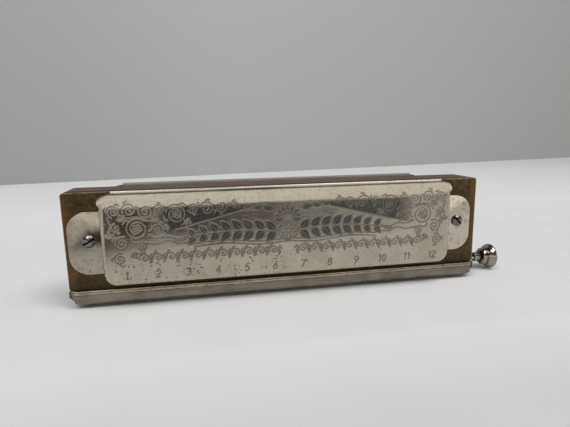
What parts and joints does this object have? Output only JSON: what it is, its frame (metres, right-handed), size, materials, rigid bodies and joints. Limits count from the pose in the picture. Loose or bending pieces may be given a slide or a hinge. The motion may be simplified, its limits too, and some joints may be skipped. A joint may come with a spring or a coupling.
{
  "type": "chromatic harmonica",
  "caption": "Slide chromatic harmonica with a wooden comb, brass reed plates, engraved nickel covers, a flat bevelled mouthpiece and a spring-return slide button at one end.",
  "frame": {"origin": "middle of the comb's length and thickness, on the flat face of the mouthpiece that the instrument stands on", "axes": "+X along the length towards the slide button, +Y from the numbered front cover to the rear cover, +Z from the mouthpiece to the comb's back edge"},
  "size_m": [0.1556, 0.0258, 0.0383],
  "materials": {
    "comb_wood": "dark red-brown stained pearwood, worn varnish",
    "aged_plate_brass": "dark tarnished brass with lighter worn edges",
    "reed_brass": "milled brass",
    "rivet_brass": "dull brass",
    "valve_film": "thin cream film",
    "cover_nickel": "worn warm nickel plate, engraved, lightly pitted",
    "mouth_nickel": "worn nickel plate, brassy at the edges",
    "slide_nickel": "polished nickel plate",
    "button_nickel": "polished nickel plate, slightly dulled",
    "screw_steel": "nickel-plated steel, slotted",
    "spring_steel": "drawn spring wire"
  },
  "bodies": {
    "instrument": {"comb": "comb_wood", "front_reed_plate": "aged_plate_brass", "rear_reed_plate": "aged_plate_brass", "front_blow_reeds": "reed_brass", "front_draw_reeds": "reed_brass", "rear_blow_reeds": "reed_brass", "rear_draw_reeds": "reed_brass", "front_reed_rivets": "rivet_brass", "rear_reed_rivets": "rivet_brass", "front_outer_valves": "valve_film", "front_inner_valves": "valve_film", "rear_outer_valves": "valve_film", "rear_inner_valves": "valve_film", "front_plate_nails": "rivet_brass", "rear_plate_nails": "rivet_brass", "front_cover": "cover_nickel", "rear_cover": "cover_nickel", "cover_screws": "screw_steel", "cover_nuts": "screw_steel", "backing_plate": "mouth_nickel", "slide_cage": "mouth_nickel", "mouthpiece": "mouth_nickel", "mouthpiece_screws": "screw_steel", "slide_spring": "spring_steel", "spring_pin": "rivet_brass"},
    "slide_unit": {"slide": "slide_nickel", "slide_button": "button_nickel", "button_pin": "screw_steel"}
  },
  "joints": [
    {"name": "slide_push", "type": "slide", "parent": "instrument", "child": "slide_unit", "axis": [-1, 0, 0], "range_m": [0, 0.0047], "stiffness_N_per_m": 350, "springref_m": -0.004, "deforming": ["slide_spring"]}
  ]
}
